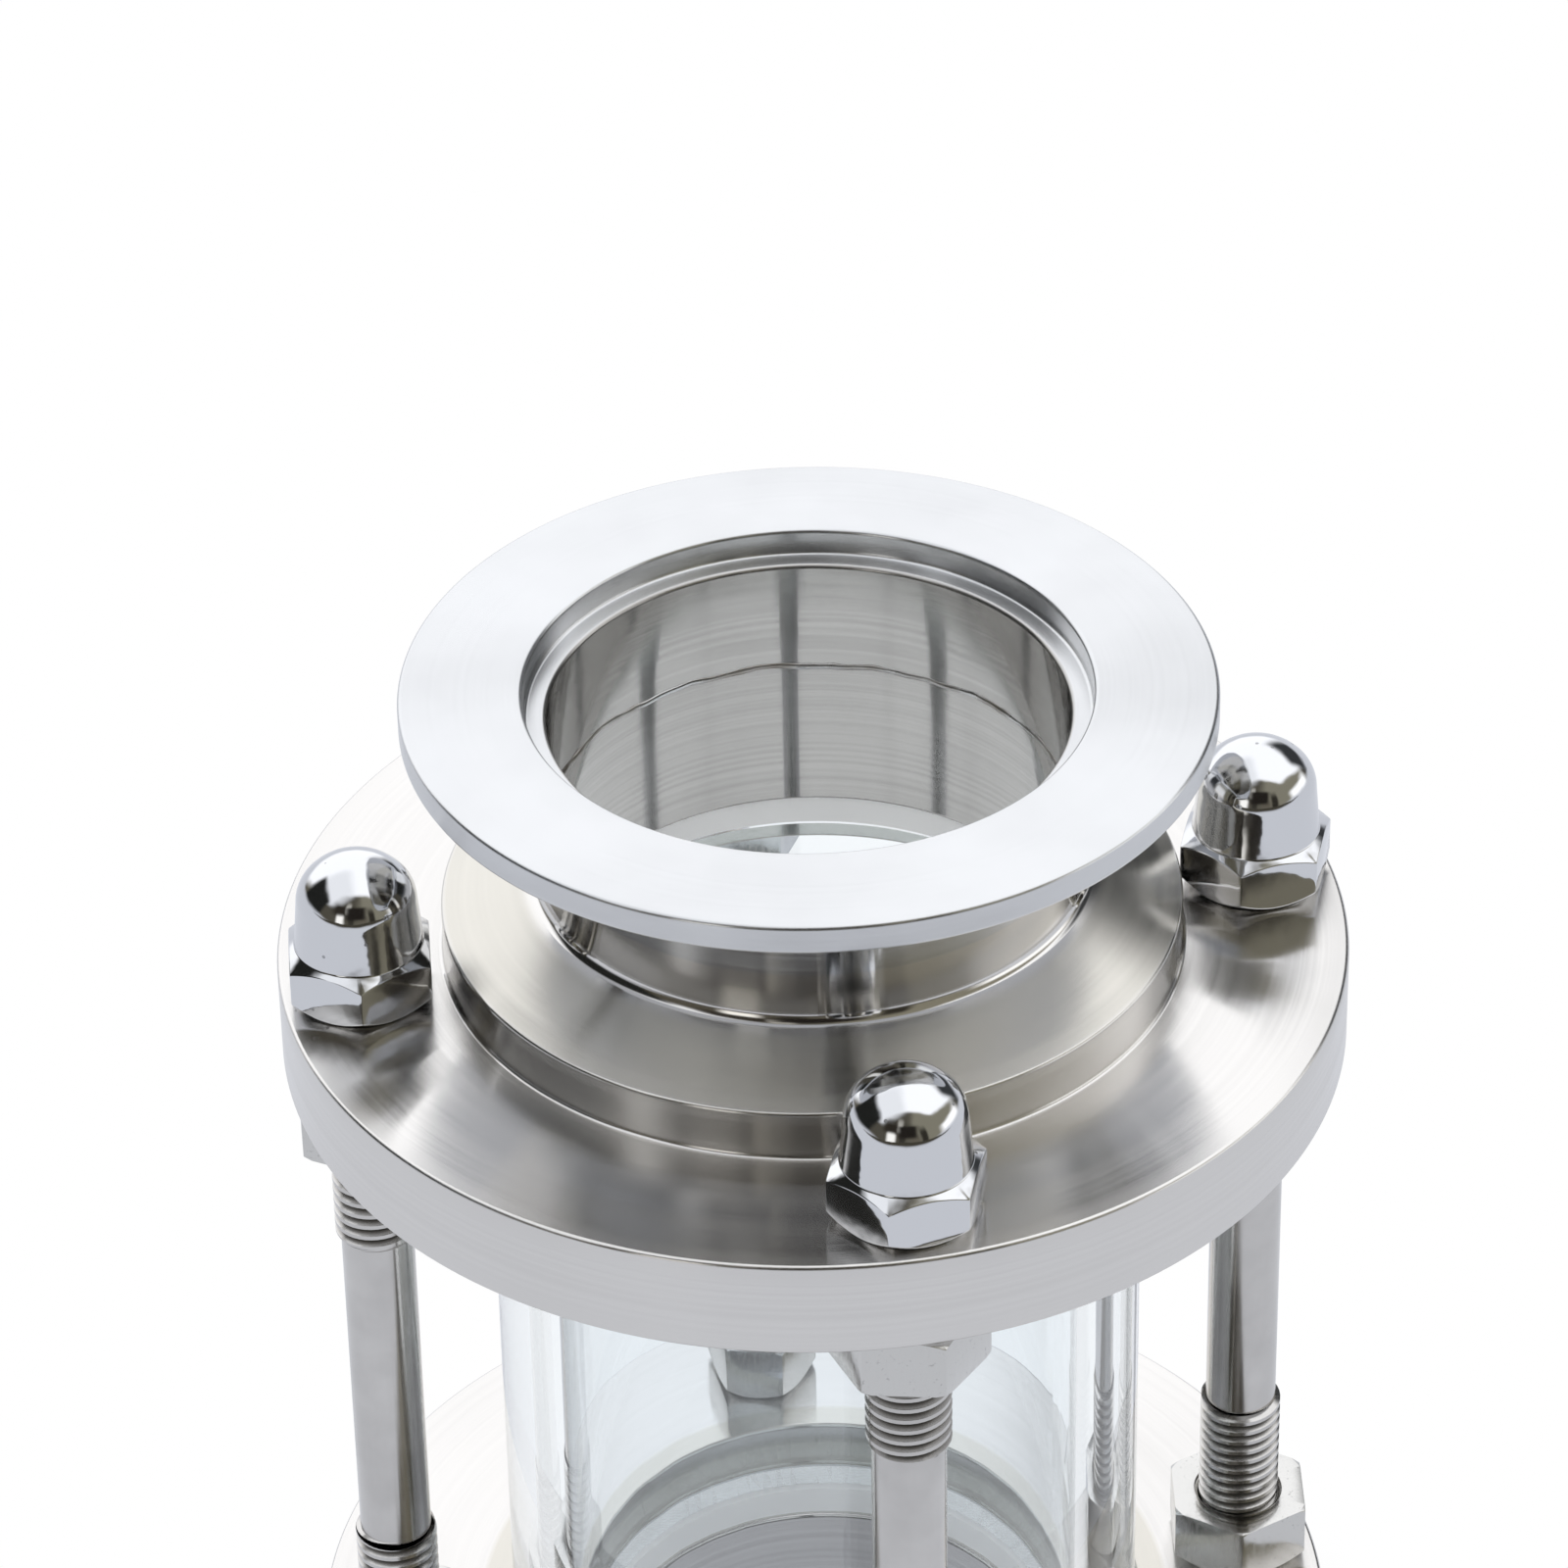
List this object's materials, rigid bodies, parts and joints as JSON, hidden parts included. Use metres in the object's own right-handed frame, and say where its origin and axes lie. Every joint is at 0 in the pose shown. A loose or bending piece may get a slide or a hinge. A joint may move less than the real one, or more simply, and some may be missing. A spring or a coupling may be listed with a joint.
{
  "type": "vacuum viewport",
  "caption": "In-line sight glass: clear tube clamped between two round plates by tie rods, with a clamp flange and centring recess at each end.",
  "frame": {"origin": "centre of the lower clamp flange's sealing face", "axes": "+Z along the bore to the upper flange; the four tie rods stand on the X and Y axes"},
  "size_m": [0.1, 0.1, 0.1475],
  "materials": {
    "ferrule_steel": "polished stainless steel, mirror bore and neck",
    "plate_steel": "fine turned stainless steel",
    "gasket_rubber": "matt white silicone rubber",
    "tube_glass": "clear with ground ends",
    "rod_steel": "satin stainless steel",
    "acorn_chrome": "mirror bright",
    "hex_nut_steel": "bright stainless steel"
  },
  "bodies": {
    "root": {"upper_kf_ferrule": "ferrule_steel", "upper_end_plate": "plate_steel", "upper_gasket": "gasket_rubber", "lower_kf_ferrule": "ferrule_steel", "lower_end_plate": "plate_steel", "lower_gasket": "gasket_rubber", "glass_tube": "tube_glass", "tie_rod_front": "rod_steel", "upper_acorn_nut_front": "acorn_chrome", "lower_acorn_nut_front": "acorn_chrome", "upper_hex_nut_front": "hex_nut_steel", "lower_hex_nut_front": "hex_nut_steel", "tie_rod_right": "rod_steel", "upper_acorn_nut_right": "acorn_chrome", "lower_acorn_nut_right": "acorn_chrome", "upper_hex_nut_right": "hex_nut_steel", "lower_hex_nut_right": "hex_nut_steel", "tie_rod_back": "rod_steel", "upper_acorn_nut_back": "acorn_chrome", "lower_acorn_nut_back": "acorn_chrome", "upper_hex_nut_back": "hex_nut_steel", "lower_hex_nut_back": "hex_nut_steel", "tie_rod_left": "rod_steel", "upper_acorn_nut_left": "acorn_chrome", "lower_acorn_nut_left": "acorn_chrome", "upper_hex_nut_left": "hex_nut_steel", "lower_hex_nut_left": "hex_nut_steel"}
  },
  "joints": []
}
